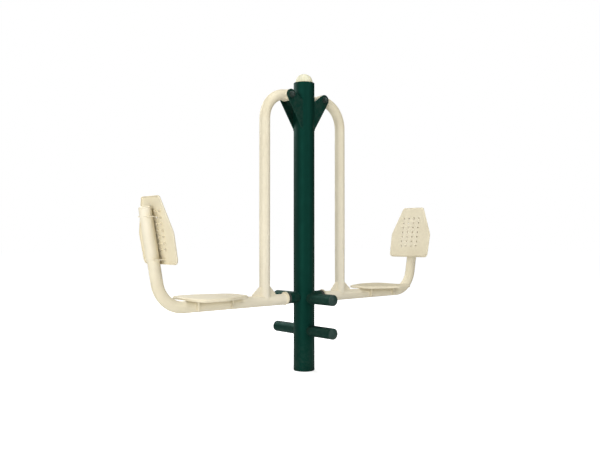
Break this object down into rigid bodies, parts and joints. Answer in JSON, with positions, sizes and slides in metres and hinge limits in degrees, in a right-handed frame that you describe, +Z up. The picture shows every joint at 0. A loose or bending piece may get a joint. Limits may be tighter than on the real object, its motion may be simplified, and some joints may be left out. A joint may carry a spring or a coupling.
{
  "type": "seated pedal trainer",
  "caption": "Outdoor seated leg trainer: swing seats with pierced backrests hang from pivots on a planted post and rest on rubber bumpers, with cross bars for the feet.",
  "frame": {"origin": "middle of the post's foot, at ground level", "axes": "+Z up the post, +X along the beams towards the right seat, -Y is the front"},
  "size_m": [2.0274, 0.4866, 1.642],
  "materials": {
    "green_paint": "dark green gloss powder coat",
    "cream_paint": "cream satin powder coat",
    "black_rubber": "moulded matt rubber",
    "dark_steel": "blackened steel",
    "nylon": "natural nylon"
  },
  "bodies": {
    "post": {"post_tube": "green_paint", "post_foot_plate": "green_paint", "post_cap": "cream_paint", "lower_foot_bar": "green_paint", "lower_front_foot_plug": "green_paint", "lower_rear_foot_plug": "green_paint", "upper_foot_bar": "green_paint", "upper_front_foot_plug": "green_paint", "upper_rear_foot_plug": "green_paint", "left_front_bracket": "green_paint", "left_rear_bracket": "green_paint", "left_stop_stub": "green_paint", "left_bumper": "black_rubber", "left_pivot_shaft": "dark_steel", "left_front_washer": "nylon", "left_rear_washer": "nylon", "left_front_cap_nut": "dark_steel", "left_rear_cap_nut": "dark_steel", "right_front_bracket": "green_paint", "right_rear_bracket": "green_paint", "right_stop_stub": "green_paint", "right_bumper": "black_rubber", "right_pivot_shaft": "dark_steel", "right_front_washer": "nylon", "right_rear_washer": "nylon", "right_front_cap_nut": "dark_steel", "right_rear_cap_nut": "dark_steel"},
    "left_seat": {"left_pivot_housing": "cream_paint", "left_front_bearing": "dark_steel", "left_rear_bearing": "dark_steel", "left_bearing_spacer": "nylon", "left_swing_arm": "cream_paint", "left_inner_gusset": "cream_paint", "left_outer_gusset": "cream_paint", "left_seat_beam": "cream_paint", "left_stop_plate": "cream_paint", "left_back_tube_cap": "cream_paint", "left_seat_pan": "cream_paint", "left_front_seat_saddle": "cream_paint", "left_rear_seat_saddle": "cream_paint", "left_backrest": "cream_paint", "left_lower_back_saddle": "cream_paint", "left_upper_back_saddle": "cream_paint"},
    "right_seat": {"right_pivot_housing": "cream_paint", "right_front_bearing": "dark_steel", "right_rear_bearing": "dark_steel", "right_bearing_spacer": "nylon", "right_swing_arm": "cream_paint", "right_inner_gusset": "cream_paint", "right_outer_gusset": "cream_paint", "right_seat_beam": "cream_paint", "right_stop_plate": "cream_paint", "right_back_tube_cap": "cream_paint", "right_seat_pan": "cream_paint", "right_front_seat_saddle": "cream_paint", "right_rear_seat_saddle": "cream_paint", "right_backrest": "cream_paint", "right_lower_back_saddle": "cream_paint", "right_upper_back_saddle": "cream_paint"}
  },
  "joints": [
    {"name": "left_seat_swing", "type": "hinge", "parent": "post", "child": "left_seat", "pos_m": [-0.124, 0, 1.507], "axis": [0, 1, 0], "range_deg": [0, 35]},
    {"name": "right_seat_swing", "type": "hinge", "parent": "post", "child": "right_seat", "pos_m": [0.124, 0, 1.507], "axis": [0, -1, 0], "range_deg": [0, 35]}
  ]
}
